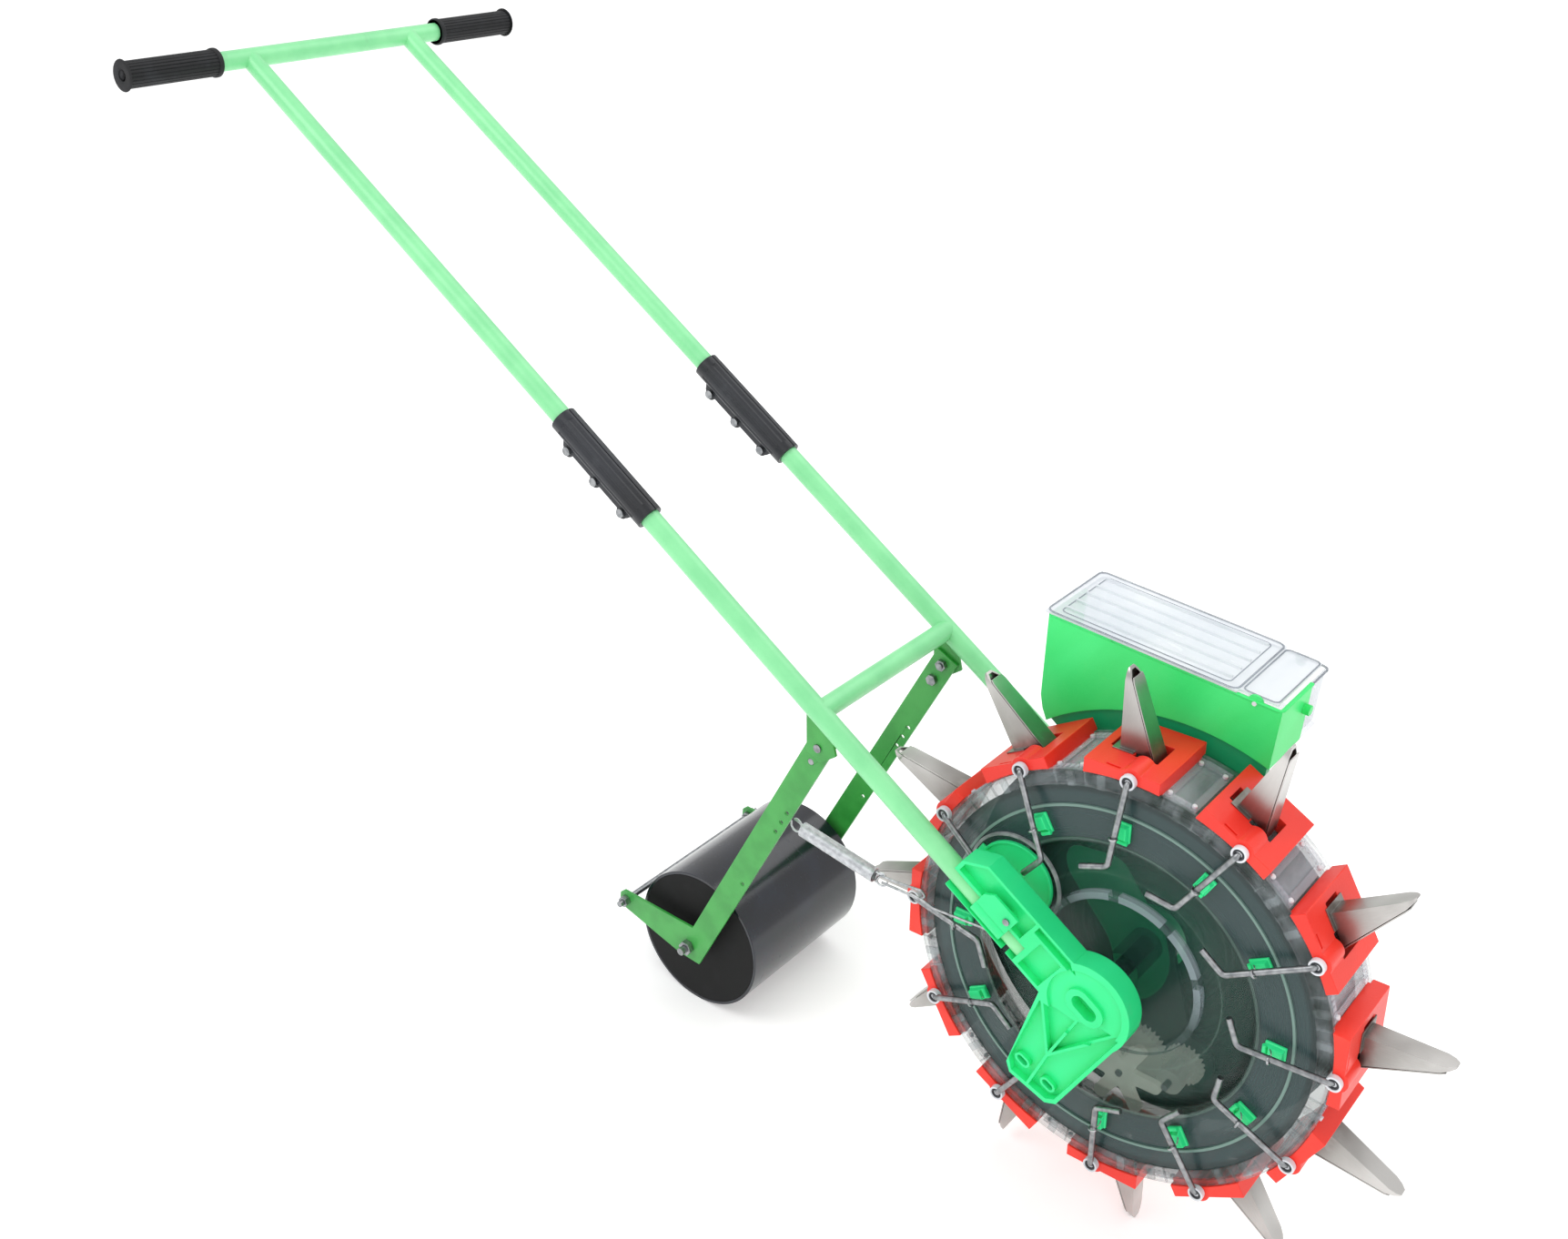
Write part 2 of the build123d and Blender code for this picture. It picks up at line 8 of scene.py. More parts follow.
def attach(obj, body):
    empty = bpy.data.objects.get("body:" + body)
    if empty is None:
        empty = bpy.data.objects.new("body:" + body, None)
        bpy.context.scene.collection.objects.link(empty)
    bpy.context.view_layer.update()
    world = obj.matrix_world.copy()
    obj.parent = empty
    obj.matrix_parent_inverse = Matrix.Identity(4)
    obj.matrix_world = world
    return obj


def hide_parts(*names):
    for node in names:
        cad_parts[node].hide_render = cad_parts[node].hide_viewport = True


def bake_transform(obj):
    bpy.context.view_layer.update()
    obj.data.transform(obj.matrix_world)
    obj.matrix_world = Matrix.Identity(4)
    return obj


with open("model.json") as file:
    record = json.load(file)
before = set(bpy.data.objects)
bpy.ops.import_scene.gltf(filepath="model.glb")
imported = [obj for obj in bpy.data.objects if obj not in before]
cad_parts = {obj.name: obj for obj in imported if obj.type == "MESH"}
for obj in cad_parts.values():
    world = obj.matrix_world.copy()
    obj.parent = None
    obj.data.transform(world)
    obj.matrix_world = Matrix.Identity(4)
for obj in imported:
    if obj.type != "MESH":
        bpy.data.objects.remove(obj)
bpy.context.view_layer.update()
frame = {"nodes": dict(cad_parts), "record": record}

print("frame loaded,", len(frame["nodes"]), "nodes")

# The machine is drawn in millimetres from the wheel axle, and moved to the frame's origin here.
machine = {
    "axle": Vector((0.520421, -0.033, 0.343473)),
    "outlets": 12,
    "firstOutlet": 125.64,
    "frameMiddle": 33.0,
    "handleRise": 28.5,
    "tubeDrop": 20.0,
    "handlebarReach": 1545,
    "handlebarHalf": 315,
}


# shader maths
class Field:
    # a number that varies over a surface, so that maths on it reads as maths
    def __init__(self, finish, socket):
        self.finish = finish
        self.socket = socket

    def join(self, operation, first, second=0.0):
        node = self.finish.add("ShaderNodeMath", {"operation": operation}, {0: first, 1: second})
        return Field(self.finish, node.outputs[0])

    def __add__(self, other):
        return self.join("ADD", self, other)

    def __sub__(self, other):
        return self.join("SUBTRACT", self, other)

    def __mul__(self, other):
        return self.join("MULTIPLY", self, other)

    def __truediv__(self, other):
        return self.join("DIVIDE", self, other)

    def __rsub__(self, other):
        return self.join("SUBTRACT", other, self)

    __radd__ = __add__
    __rmul__ = __mul__

    def __pow__(self, other):
        return self.join("POWER", self, other)

    def __mod__(self, other):
        return self.join("FLOORED_MODULO", self, other)

    def __abs__(self):
        return self.join("ABSOLUTE", self)

    def above(self, level):
        return self.join("GREATER_THAN", self, level)

    def rise(self, low, high):
        # 0 under low, 1 over high, smooth between
        node = self.finish.add("ShaderNodeMapRange", {"interpolation_type": "SMOOTHSTEP"},
                               {"Value": self, "From Min": low, "From Max": high})
        return Field(self.finish, node.outputs["Result"])

    def band(self, middle, half, soft):
        # 1 within half of middle
        return 1 - abs(self - middle).rise(half, half + soft)


class Finish:
    def __init__(self, name):
        self.material = bpy.data.materials.new(name)
        self.material.use_nodes = True
        self.tree = self.material.node_tree
        self.tree.nodes.clear()
        self.output = self.add("ShaderNodeOutputMaterial")
        self.shader = self.add("ShaderNodeBsdfPrincipled")
        self.tree.links.new(self.shader.outputs[0], self.output.inputs["Surface"])
        self.place = self.add("ShaderNodeTexCoord").outputs["Object"]

    def add(self, kind, settings=None, values=None):
        node = self.tree.nodes.new(kind)
        for key, value in (settings or {}).items():
            if key == "stops":
                while len(node.color_ramp.elements) < len(value):
                    node.color_ramp.elements.new(0.5)
                for stop, (position, colour) in zip(node.color_ramp.elements, value):
                    stop.position = position
                    stop.color = colour
            else:
                setattr(node, key, value)
        for key, value in (values or {}).items():
            self.feed(node.inputs[key], value)
        return node

    def feed(self, socket, value):
        if isinstance(value, Field):
            value = value.socket
        if isinstance(value, bpy.types.NodeSocket):
            self.tree.links.new(value, socket)
        else:
            socket.default_value = value

    def axes(self, vector=None):
        node = self.add("ShaderNodeSeparateXYZ", None, {0: vector or self.place})
        return [Field(self, output) for output in node.outputs]

    def vector(self, x, y, z):
        return self.add("ShaderNodeCombineXYZ", None, {0: x, 1: y, 2: z}).outputs[0]

    def turned(self, centre, tilt, stretch):
        # the place, centred and turned about Y, then stretched
        values = {"Vector": self.place, "Location": centre, "Rotation": (0, tilt, 0), "Scale": stretch}
        return self.add("ShaderNodeMapping", {"vector_type": "TEXTURE"}, values).outputs[0]

    def noise(self, scale, detail=3.0, vector=None, roughness=0.5):
        node = self.add("ShaderNodeTexNoise", None, {"Vector": vector or self.place, "Scale": scale,
                                                      "Detail": detail, "Roughness": roughness})
        return Field(self, node.outputs[0])

    def cells(self, scale, vector=None):
        node = self.add("ShaderNodeTexVoronoi", None, {"Vector": vector or self.place, "Scale": scale})
        return Field(self, node.outputs["Distance"])

    def mix(self, factor, first, second):
        node = self.add("ShaderNodeMix", {"data_type": "RGBA"}, {0: factor, 6: first, 7: second})
        return node.outputs[2]

    def polar(self):
        # distance from the wheel axle in millimetres, and direction in turns of 0 to 1
        x, y, z = self.axes()
        across = (x - machine["axle"].x) * 1000
        up = (z - machine["axle"].z) * 1000
        reach = (across * across + up * up) ** 0.5
        turn = up.join("ARCTAN2", up, across) / (2 * pi) + 0.5
        return reach, turn, (y - machine["axle"].y) * 1000

    def bump(self, height, depth, strength=1.0, edge=0.0):
        values = {"Height": height, "Distance": depth, "Strength": strength}
        if edge:
            worn = self.add("ShaderNodeBevel", {"samples": 4}, {"Radius": edge / 1000})
            values["Normal"] = worn.outputs[0]
        node = self.add("ShaderNodeBump", None, values)
        self.feed(self.shader.inputs["Normal"], node.outputs[0])

    def set(self, **values):
        for key, value in values.items():
            self.feed(self.shader.inputs[key.replace("_", " ")], value)
        return self.material


def colour(code):
    # "#rrggbb" as the linear colour that a shader takes
    parts = [int(code[i:i + 2], 16) / 255 for i in (1, 3, 5)]
    return (*[p / 12.92 if p <= 0.04045 else ((p + 0.055) / 1.055) ** 2.4 for p in parts], 1.0)


# finishes
def makePaint(name, s):
    f = Finish(name)
    patches = f.noise(s["patchScale"], 3)
    grain = f.noise(s["grainScale"], 2)
    specks = 1 - f.cells(s["speckScale"]).rise(0.0, 0.12)
    scuff = f.noise(14, 5, f.turned((0, 0, 0), s["tilt"], (6, 1, 1)), 0.7).rise(0.62, 0.72)
    tone = f.mix(patches.rise(0.3, 0.7), colour(s["dark"]), colour(s["light"]))
    tone = f.mix(specks * 0.25, tone, colour(s["speck"]))
    tone = f.mix(scuff * s["scuff"], tone, colour(s["worn"]))
    f.bump(grain * 0.7 + specks * 0.3, s["grainDepth"])
    return f.set(Base_Color=tone, Roughness=s["rough"] + grain * 0.12 + scuff * 0.1,
                 Coat_Weight=s["coat"], Coat_Roughness=0.25, Specular_IOR_Level=s["gloss"])


def makePlastic(name, s):
    f = Finish(name)
    flow = f.noise(9, 4, f.turned((0, 0, 0), 0.6, (1, 2.5, 4)))
    pores = f.noise(s["grainScale"], 2)
    dirt = f.noise(38, 5, None, 0.65).rise(0.6, 0.78)
    tone = f.mix(flow.rise(0.3, 0.7), colour(s["dark"]), colour(s["light"]))
    tone = f.mix(dirt * s["dirt"], tone, colour(s["dust"]))
    f.bump(pores * 0.8 + flow * 0.2, s["grainDepth"], 1.0, s["edge"])
    # the emission is a painted glow: the part shines by itself, though it is no lamp
    return f.set(Base_Color=tone, Roughness=s["rough"] + pores * 0.1 + dirt * 0.12,
                 Specular_IOR_Level=s["gloss"], Subsurface_Weight=s["glow"],
                 Subsurface_Radius=(0.02, 0.02, 0.02), Subsurface_Scale=0.1,
                 Emission_Color=tone, Emission_Strength=s.get("paintedGlow", 0.0))


def makeBeakSteel(name, s):
    f = Finish(name)
    reach, turn, depth = f.polar()
    lines = f.noise(1.0, 3, f.vector(turn * 2600, depth * 3.2, reach * 0.012), 0.6)
    smear = f.noise(14, 2)
    soil = (1 - reach.rise(252, 285)) * f.noise(60, 4).rise(0.3, 0.6)
    # painted shade: the beak is fully darkened within 258 mm of the axle, fading out by 330 mm, at its base
    # by the seat
    shadedBase = 1 - reach.rise(258, 330)
    tone = f.mix(lines * 0.35 + smear.rise(0.3, 0.7) * 0.65, colour(s["dark"]), colour(s["light"]))
    tone = f.mix(shadedBase * 0.55, tone, colour(s["baseShade"]))
    tone = f.mix(soil * 0.5, tone, colour(s["soil"]))
    f.bump(lines, 0.00003, 0.4)
    return f.set(Base_Color=tone, Metallic=1.0, Roughness=s["rough"] + lines * 0.06 + soil * 0.15)


def makeZinc(name, s):
    f = Finish(name)
    blotch = f.noise(160, 3)
    fine = f.noise(700, 2)
    stain = f.noise(45, 4, None, 0.7).rise(0.56, 0.72)
    tone = f.mix(blotch.rise(0.3, 0.7), colour(s["dark"]), colour(s["light"]))
    tone = f.mix(stain * s["stain"], tone, colour(s["tarnish"]))
    f.bump(fine, 0.00008, 0.5)
    return f.set(Base_Color=tone, Metallic=1.0, Roughness=s["rough"] + blotch * 0.12 + stain * 0.15)


def makeDisc(name, s):
    # smoky see-through disc with turned grooves, pale rings that are painted highlights on its stepped
    # edges, bands of painted shadow, and a printed dashed ring brightened on one side by a painted sheen
    f = Finish(name)
    reach, turn, depth = f.polar()
    haze = f.noise(8, 4)
    grooves = f.noise(1.0, 2, f.vector(reach * 0.9, turn * 3, depth * 0.1))
    # painted highlights: pale rings where the disc's stepped edges would catch the light
    highlightRingA = reach.band(204.5, 1.4, 0.5)
    highlightRingB = reach.band(165, 1.2, 0.8)
    highlightRingC = reach.band(118, 0.7, 0.6)
    shadow = reach.band(160, 5, 6) + reach.band(226, 3, 4)
    dash = (turn * 9) % 1.0
    # painted sheen: the printed dashes are brightened on one side of the disc, as by a reflection
    sheen = (abs((turn + 0.28) % 1.0 - 0.5) * 2).rise(0.35, 0.75)
    dashes = reach.band(93, 4.2, 0.4) * (dash.above(0.18) * 0.75 + 0.25) * (sheen * 0.85 + 0.08)
    tone = f.mix(haze.rise(0.3, 0.7), colour(s["dark"]), colour(s["light"]))
    tone = f.mix(reach.rise(160, 168), tone, colour(s["outer"]))
    tone = f.mix(shadow * 0.5, tone, colour(s["deep"]))
    tone = f.mix(highlightRingA * 0.5 + highlightRingB * 0.3 + highlightRingC * 0.3, tone, colour(s["line"]))
    tone = f.mix(dashes * 0.9, tone, colour(s["dash"]))
    show = s["cover"] + reach.rise(160, 168) * s["outerCover"] + (highlightRingA + dashes) * 0.2
    f.bump(grooves * 0.5 + highlightRingA - highlightRingB, 0.0004, 0.5)
    return f.set(Base_Color=tone, Alpha=show, Roughness=0.16 + grooves * 0.12 + haze * 0.08,
                 Specular_IOR_Level=0.5)


def makeClear(name, s):
    f = Finish(name)
    edge = Field(f, f.add("ShaderNodeLayerWeight", None, {"Blend": s["edge"]}).outputs["Facing"])
    swirl = f.noise(s["swirl"], 4, f.turned((0, 0, 0), 0.5, (1, 3, 1)))
    scratches = f.noise(60, 5, f.turned((0, 0, 0), 0.5, (12, 1, 1)), 0.7).rise(0.6, 0.7)
    tone = f.mix(swirl.rise(0.3, 0.7), colour(s["dark"]), colour(s["light"]))
    f.bump(swirl, 0.0008, 0.6)
    return f.set(Base_Color=tone, Alpha=s["cover"] + edge * s["edgeCover"] + scratches * 0.08,
                 Roughness=0.1 + swirl * 0.12, Specular_IOR_Level=0.6, IOR=1.49)


def makeRubber(name, s):
    f = Finish(name)
    pores = f.noise(900, 3)
    dust = f.noise(30, 5, None, 0.65)
    tone = f.mix(dust.rise(0.45, 0.8), colour(s["dark"]), colour(s["light"]))
    f.bump(pores * 0.6 + dust * 0.4, s["depth"])
    return f.set(Base_Color=tone, Roughness=s["rough"] + pores * 0.12 + dust * 0.1,
                 Specular_IOR_Level=s["gloss"])


def makeRollerPipe(name, s):
    # glossy pipe with faint drawing lines along its length and soil scuffs round it
    f = Finish(name)
    x, y, z = f.axes()
    drawn = f.noise(1.0, 3, f.vector(x * 420, y * 4, z * 420))
    scuffs = f.noise(1.0, 5, f.vector(x * 60, y * 220, z * 60), 0.7).rise(0.58, 0.75)
    dust = f.noise(20, 5).rise(0.4, 0.8)
    tone = f.mix(dust, colour(s["dark"]), colour(s["light"]))
    tone = f.mix(scuffs * 0.25, tone, colour(s["scuff"]))
    f.bump(drawn * 0.4 + scuffs * 0.3, 0.0002, 0.5)
    return f.set(Base_Color=tone, Roughness=s["rough"] + drawn * 0.06 + scuffs * 0.2,
                 Coat_Weight=0.3, Coat_Roughness=0.15)


looks = {
    "tube": makePaint("tubePaint", {
        "dark": "#7fd896", "light": "#8be2a0", "speck": "#bff6c9", "worn": "#6fa37c", "patchScale": 22,
        "grainScale": 700, "speckScale": 420, "grainDepth": 0.0003, "scuff": 0.16, "rough": 0.3,
        "coat": 0.35, "gloss": 0.5, "tilt": 0.5}),
    "bar": makePaint("barPaint", {
        "dark": "#2c9237", "light": "#3aa343", "speck": "#79cb80", "worn": "#2f7a3a", "patchScale": 30,
        "grainScale": 800, "speckScale": 500, "grainDepth": 0.0003, "scuff": 0.3, "rough": 0.34,
        "coat": 0.3, "gloss": 0.5, "tilt": 1.2}),
    "arm": makePlastic("armPlastic", {
        "dark": "#28e389", "light": "#38f39c", "edge": 1.2, "dust": "#5fd79a", "grainScale": 500,
        "grainDepth": 0.0002, "dirt": 0.25, "rough": 0.34, "gloss": 0.45, "glow": 0.1}),
    # the neck plastic has a slight painted glow
    "neck": makePlastic("neckPlastic", {
        "dark": "#158a57", "light": "#1ba368", "edge": 1.4, "dust": "#2f8a60", "grainScale": 500,
        "grainDepth": 0.0002, "dirt": 0.25, "rough": 0.34, "gloss": 0.45, "glow": 0.0, "paintedGlow": 0.12}),
    "hopper": makePlastic("hopperPlastic", {
        "dark": "#33df6d", "light": "#46f084", "edge": 1.6, "dust": "#8fdc5e", "grainScale": 500,
        "grainDepth": 0.0002, "dirt": 0.12, "rough": 0.34, "gloss": 0.45, "glow": 0.1}),
    "seat": makePlastic("seatPlastic", {
        "dark": "#e62718", "light": "#fb3826", "edge": 0.0, "dust": "#d8544a", "grainScale": 500,
        "grainDepth": 0.0002, "dirt": 0.25, "rough": 0.32, "gloss": 0.5, "glow": 0.1}),
    # the star plastic has a painted glow, so it stays bright behind the smoky disc
    "star": makePlastic("starPlastic", {
        "dark": "#a9b0a3", "light": "#ccd0c4", "edge": 0.0, "dust": "#83887a", "grainScale": 400,
        "grainDepth": 0.0002, "dirt": 0.4, "rough": 0.42, "gloss": 0.4, "glow": 0.0, "paintedGlow": 0.7}),
    # the gear plastic has a painted glow
    "gear": makePlastic("gearPlastic", {
        "dark": "#8d948b", "light": "#adb3a8", "edge": 0.0, "dust": "#6d7268", "grainScale": 400,
        "grainDepth": 0.0002, "dirt": 0.4, "rough": 0.42, "gloss": 0.4, "glow": 0.0, "paintedGlow": 0.5}),
    "housing": makePlastic("housingPlastic", {
        "dark": "#233a36", "light": "#2c4741", "edge": 0.0, "dust": "#3b5650", "grainScale": 400,
        "grainDepth": 0.0002, "dirt": 0.3, "rough": 0.35, "gloss": 0.4, "glow": 0.0}),
    "black": makePlastic("blackPlastic", {
        "dark": "#16181d", "light": "#23262d", "edge": 0.8, "dust": "#43464b", "grainScale": 600,
        "grainDepth": 0.0003, "dirt": 0.35, "rough": 0.3, "gloss": 0.5, "glow": 0.0}),
    "cap": makePlastic("capPlastic", {
        "dark": "#c9cbd2", "light": "#eef0f4", "edge": 0.0, "dust": "#8e9198", "grainScale": 600,
        "grainDepth": 0.0001, "dirt": 0.2, "rough": 0.2, "gloss": 0.6, "glow": 0.0}),
    # the beak's brown-grey fourth colour is painted shade at its base
    "beak": makeBeakSteel("beakSteel", {
        "dark": "#a09d9a", "light": "#d4d2cf", "baseShade": "#5f5650", "soil": "#4a3b33", "rough": 0.26}),
    "zinc": makeZinc("zincPlate", {
        "dark": "#7f8285", "light": "#a5a7a9", "tarnish": "#605a50", "stain": 0.5, "rough": 0.3}),
    "wire": makeZinc("springWire", {
        "dark": "#94979a", "light": "#c0c2c4", "tarnish": "#6f6b64", "stain": 0.3, "rough": 0.26}),
    "coil": makeZinc("coilWire", {
        "dark": "#c2c5c9", "light": "#dfe1e4", "tarnish": "#a9a9a6", "stain": 0.15, "rough": 0.36}),
    # the line colour paints the highlight rings, and the deep colour paints the shadow bands
    "disc": makeDisc("smokyDisc", {
        "dark": "#23463e", "light": "#2f554c", "outer": "#34494a", "deep": "#141d1c", "line": "#8fb0a3",
        "dash": "#b4c2cb", "cover": 0.36, "outerCover": 0.44}),
    # the far disc is a shaded copy of the smoky disc: its darker colours, lines and print are painted shade
    "shadedFarDisc": makeDisc("shadedFarSmokyDisc", {
        "dark": "#12352a", "light": "#1a4434", "outer": "#1b2f2b", "deep": "#0b1511", "line": "#33453f",
        "dash": "#2c3a36", "cover": 0.96, "outerCover": 0.03}),
    "clear": makeClear("clearPlastic", {
        "dark": "#a7aebb", "light": "#e4e8f0", "edge": 0.3, "cover": 0.1, "edgeCover": 0.5, "swirl": 18}),
    "rim": makeClear("clearRim", {
        "dark": "#56625f", "light": "#b3bdc2", "edge": 0.25, "cover": 0.14, "edgeCover": 0.4, "swirl": 40}),
    "trim": makeClear("clearTrim", {
        "dark": "#6f7884", "light": "#98a1ac", "edge": 0.3, "cover": 0.45, "edgeCover": 0.4, "swirl": 30}),
    "lid": makeClear("lidPlastic", {
        "dark": "#dfe5ee", "light": "#f2f5fa", "edge": 0.3, "cover": 0.45, "edgeCover": 0.35, "swirl": 10}),
    "stud": makeClear("studPlastic", {
        "dark": "#8b8f92", "light": "#b9bdc0", "edge": 0.4, "cover": 0.6, "edgeCover": 0.35, "swirl": 90}),
    "rubber": makeRubber("gripRubber", {
        "dark": "#0f1013", "light": "#24262b", "rough": 0.46, "gloss": 0.4, "depth": 0.0004}),
    "pipe": makeRollerPipe("rollerPipe", {
        "dark": "#0b0f1a", "light": "#161d2c", "scuff": "#2f3642", "rough": 0.17}),
    "rollerEnd": makeRubber("rollerEndMatt", {
        "dark": "#0a0a0b", "light": "#151517", "rough": 0.6, "gloss": 0.3, "depth": 0.0003}),
}
print("finishes made,", len(looks))


# modelling helpers
def unselect():
    if bpy.context.object and bpy.context.object.mode != "OBJECT":
        bpy.ops.object.mode_set(mode="OBJECT")
    bpy.ops.object.select_all(action="DESELECT")


def activate(piece):
    unselect()
    piece.select_set(True)
    bpy.context.view_layer.objects.active = piece


def taken(name):
    piece = bpy.context.object
    piece.name = name
    piece.data.name = name
    return piece


def spot(u, y, v):
    # a point in millimetres from the axle, as metres from the frame's origin
    return machine["axle"] + Vector((u, y, v)) / 1000


def onFrame(reach, lift=0.0):
    slope = radians(machine["handleRise"])
    drop = lift - machine["tubeDrop"]
    return (-reach * cos(slope) + drop * sin(slope), reach * sin(slope) + drop * cos(slope))


def settle(piece):
    # place, turn and size go into the mesh
    activate(piece)
    bpy.ops.object.transform_apply(location=True, rotation=True, scale=True)


def applyAll(piece):
    activate(piece)
    for modifier in list(piece.modifiers):
        bpy.ops.object.modifier_apply(modifier=modifier.name)


def tidyMesh(piece, merge=0.00002):
    activate(piece)
    bpy.ops.object.mode_set(mode="EDIT")
    bpy.ops.mesh.select_all(action="SELECT")
    bpy.ops.mesh.remove_doubles(threshold=merge)
    bpy.ops.mesh.normals_make_consistent(inside=False)
    bpy.ops.object.mode_set(mode="OBJECT")


def roundEdges(piece, width, segments=2, angle=30):
    modifier = piece.modifiers.new("edges", "BEVEL")
    modifier.width = width / 1000
    modifier.segments = segments
    modifier.limit_method = "ANGLE"
    modifier.angle_limit = radians(angle)
    modifier.use_clamp_overlap = False
    applyAll(piece)


def smooth(piece, angle=35):
    activate(piece)
    bpy.ops.object.shade_smooth_by_angle(angle=radians(angle), keep_sharp_edges=True)


def finished(piece, body, look, stands=(), angle=40, span=None):
    settle(piece)
    piece.data.materials.clear()
    piece.data.materials.append(looks[look])
    smooth(piece, angle)
    weigh = piece.modifiers.new("faceNormals", "WEIGHTED_NORMAL")
    weigh.keep_sharp = True
    applyAll(piece)
    if span:
        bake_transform(piece)
    else:
        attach(piece, body)
    if stands:
        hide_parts(*stands)
    return piece


def faceWhere(piece, test):
    # leaves only the faces that pass the test selected, in edit mode
    activate(piece)
    bpy.ops.object.mode_set(mode="EDIT")
    bpy.ops.mesh.select_mode(type="FACE")
    bpy.ops.mesh.select_all(action="DESELECT")
    mesh = bmesh.from_edit_mesh(piece.data)
    for face in mesh.faces:
        face.select = bool(test(face))
    bmesh.update_edit_mesh(piece.data)


def leaveEdit():
    bpy.ops.object.mode_set(mode="OBJECT")


def joined(pieces, name):
    unselect()
    for piece in pieces:
        piece.select_set(True)
    bpy.context.view_layer.objects.active = pieces[0]
    bpy.ops.object.join()
    return taken(name)


def cadCopy(node, name):
    # the CAD node's shape as an editable piece, its loose triangles merged and flat faces made whole
    piece = bpy.data.objects.new(name, frame["nodes"][node].data.copy())
    bpy.context.scene.collection.objects.link(piece)
    tidyMesh(piece)
    bpy.ops.object.mode_set(mode="EDIT")
    bpy.ops.mesh.select_all(action="SELECT")
    bpy.ops.mesh.dissolve_limited(angle_limit=radians(0.6), use_dissolve_boundaries=False)
    bpy.ops.object.mode_set(mode="OBJECT")
    return piece


def aroundWheel(piece, name, bodies, look):
    # copies of a piece drawn at outlet angle 0, one for each outlet, each with its own mesh
    settle(piece)
    for number in range(machine["outlets"]):
        turn = radians(machine["firstOutlet"] - number * 360 / machine["outlets"])
        copy = bpy.data.objects.new(name + "_%02d" % (number + 1), piece.data.copy())
        bpy.context.scene.collection.objects.link(copy)
        place = Matrix.Translation(machine["axle"]) @ Matrix.Rotation(-turn, 4, "Y")
        copy.data.transform(place @ Matrix.Translation(-machine["axle"]))
        body = bodies if isinstance(bodies, str) else bodies[number]
        finished(copy, body, look)
    bpy.data.objects.remove(piece)


beakBodies = ["beak_%02d" % (number + 1) for number in range(machine["outlets"])]


def bentRod(points, radius, bend, name, closed=False, sides=14):
    # a round rod through points, every corner rounded to the bend radius
    line = bpy.data.curves.new(name, "CURVE")
    line.dimensions = "3D"
    line.bevel_depth = radius / 1000
    line.bevel_resolution = sides // 4
    line.use_fill_caps = True
    line.resolution_u = 6
    corners = [points[-1], *points, points[0]] if closed else points
    knots = [] if closed else [(points[0], None, None)]
    for before, corner, after in zip(corners, corners[1:], corners[2:]):
        before, corner, after = Vector(before), Vector(corner), Vector(after)
        inward, outward = (before - corner).normalized(), (after - corner).normalized()
        half = inward.angle(outward) / 2
        reach = min(bend / tan(half), (before - corner).length * 0.45, (after - corner).length * 0.45)
        knots.append((corner + inward * reach, None, corner + inward * reach * 0.45))
        knots.append((corner + outward * reach, corner + outward * reach * 0.45, None))
    if not closed:
        knots.append((points[-1], None, None))
    spline = line.splines.new("BEZIER")
    spline.use_cyclic_u = closed
    spline.bezier_points.add(len(knots) - 1)
    for knot, (place, left, right) in zip(spline.bezier_points, knots):
        knot.co = spot(*place)
        knot.handle_left_type = knot.handle_right_type = "FREE"
        knot.handle_left = spot(*(left or place))
        knot.handle_right = spot(*(right or place))
    piece = bpy.data.objects.new(name, line)
    bpy.context.scene.collection.objects.link(piece)
    activate(piece)
    bpy.ops.object.convert(target="MESH")
    return taken(name)


# CAD nodes that keep their shape
keptNodes = {
    "handlebar": "tube", "upper_tube_right": "tube", "upper_tube_left": "tube",
    "lower_tube_right": "tube", "lower_tube_left": "tube", "crossbar": "tube",
    "axle": "zinc", "axle_collars": "zinc", "gear_pins": "zinc", "clamp_screws": "zinc",
    "lid_pins": "cap", "seed_housing": "housing", "hopper_neck": "neck", "star_gear": "gear",
    "side_arm_right": "arm", "side_arm_left": "arm", "clamp_cover_right": "arm", "clamp_cover_left": "arm",
    "hopper_tub": "hopper",
    "meter_roller": "gear", "drum_near_disc": "disc", "drum_far_disc": "shadedFarDisc", "drive_pegs": "stud",
    "roller_axle": "zinc", "rear_rod": "zinc", "sleeve_bolts": "zinc", "pivot_bolts": "zinc",
}


def dress(node, look):
    data = frame["nodes"][node].data
    data.materials.clear()
    data.materials.append(looks[look])


for node, look in keptNodes.items():
    dress(node, look)
print("kept nodes dressed")


# CAD shapes taken over with rounded edges
roundedNodes = {
    "outlet_seats": ("outletSeats", "seat", "seat_red", 0.9),
    "fixed_beaks": ("fixedBeaks", "beak", "steel", 0.3),
    "hopper_back": ("hopperBack", "clear", "clear_plastic", 1.0),
    "hopper_lid": ("hopperLid", "lid", "clear_plastic", 0.8),
    "roller_arm_right": ("rollerArmRight", "bar", "bar_green", 0.6),
    "roller_arm_left": ("rollerArmLeft", "bar", "bar_green", 0.6),
    "arm_tabs": ("armTabs", "bar", "bar_green", 0.6),
    "star_wheel": ("starWheel", "star", "star_white", 0.7),
    "drum_rim": ("drumRim", "rim", "clear_plastic", 0.6),
    "roller_nuts": ("rollerNuts", "zinc", "zinc", 0.5),
    "roller_ends": ("rollerEnds", "rollerEnd", "black_plastic", 0.8),
    "roller_shell": ("rollerShell", "pipe", "black_plastic", 0.8),
}
bodyOf = {node: body for body, nodes in frame["record"]["behaviour"]["bodies"].items() for node in nodes}
for node, (name, look, slotName, width) in roundedNodes.items():
    piece = cadCopy(node, name)
    roundEdges(piece, width)
    finished(piece, bodyOf[node], look, [node])
print("rounded pieces made")


# beaks and their cranks
crank = {"rod": 3.5, "bend": 7.0, "elbow": (250, -60, 0), "knee": (153.85, -74.5, 6.72),
         "end": (142.3, -75.5, 36.8), "cut": -19.0}


